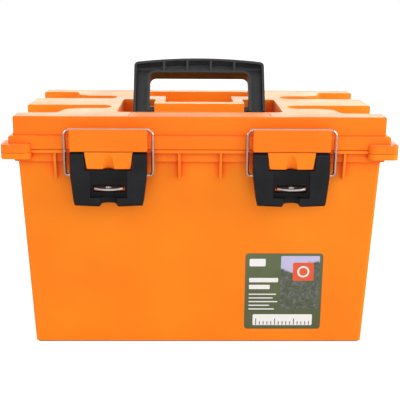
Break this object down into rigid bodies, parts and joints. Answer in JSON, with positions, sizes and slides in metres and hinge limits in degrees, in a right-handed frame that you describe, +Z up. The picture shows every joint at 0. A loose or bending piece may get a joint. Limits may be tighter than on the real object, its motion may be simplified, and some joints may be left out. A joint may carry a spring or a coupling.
{
  "type": "fishing tackle box",
  "caption": "Deep orange dry box for tackle with a sealed hinged lid, over-centre wire latches, folding carry handle and lift-out tray.",
  "frame": {"origin": "centre of the tub underside, on the surface that the box stands on", "axes": "+X along the long side, to the right seen from the latches; +Z up; the latches face -Y"},
  "size_m": [0.4666, 0.3086, 0.3452],
  "materials": {
    "orange_shell": "satin moulded polypropylene",
    "black_plastic": "satin moulded nylon",
    "seal_foam": "matte foam cord",
    "steel_wire": "bright zinc plated wire",
    "steel_pin": "plain drawn steel",
    "stainless_plate": "stamped stainless",
    "label_sheet": "printed film without lettering"
  },
  "bodies": {
    "tub": {"base_shell": "orange_shell", "front_label": "label_sheet", "latch_pin_left": "steel_pin", "latch_pin_right": "steel_pin", "hasp_plate_left": "stainless_plate", "hasp_plate_right": "stainless_plate", "hinge_pin_left": "steel_pin", "hinge_pin_right": "steel_pin"},
    "lid": {"lid_shell": "orange_shell", "lid_gasket": "seal_foam"},
    "handle": {"carry_handle": "black_plastic"},
    "tray": {"lift_out_tray": "orange_shell"},
    "lever_left": {"latch_lever_left": "black_plastic"},
    "lever_right": {"latch_lever_right": "black_plastic"},
    "bail_left": {"bail_wire_left": "steel_wire"},
    "bail_right": {"bail_wire_right": "steel_wire"}
  },
  "joints": [
    {"name": "lid_hinge", "type": "hinge", "parent": "tub", "child": "lid", "pos_m": [0, 0.143, 0.25165], "axis": [-1, 0, 0], "range_deg": [0, 105]},
    {"name": "handle_pivot", "type": "hinge", "parent": "lid", "child": "handle", "pos_m": [0, -0.009, 0.28], "axis": [1, 0, 0], "range_deg": [0, 122]},
    {"name": "tray_lift", "type": "slide", "parent": "tub", "child": "tray", "axis": [0, 0, 1], "range_m": [0, 0.012]},
    {"name": "lever_left_pivot", "type": "hinge", "parent": "tub", "child": "lever_left", "pos_m": [-0.107, -0.1403, 0.245], "axis": [-1, 0, 0], "range_deg": [0, 95]},
    {"name": "bail_left_pivot", "type": "hinge", "parent": "lever_left", "child": "bail_left", "pos_m": [-0.107, -0.1385, 0.2218], "axis": [-1, 0, 0], "range_deg": [-60, 0]},
    {"name": "lever_right_pivot", "type": "hinge", "parent": "tub", "child": "lever_right", "pos_m": [0.107, -0.1403, 0.245], "axis": [-1, 0, 0], "range_deg": [0, 95]},
    {"name": "bail_right_pivot", "type": "hinge", "parent": "lever_right", "child": "bail_right", "pos_m": [0.107, -0.1385, 0.2218], "axis": [-1, 0, 0], "range_deg": [-60, 0]}
  ],
  "couplings": [
    {"joint": "bail_left_pivot", "follows": "lever_left_pivot", "ratio": -0.62},
    {"joint": "bail_right_pivot", "follows": "lever_right_pivot", "ratio": -0.62}
  ]
}
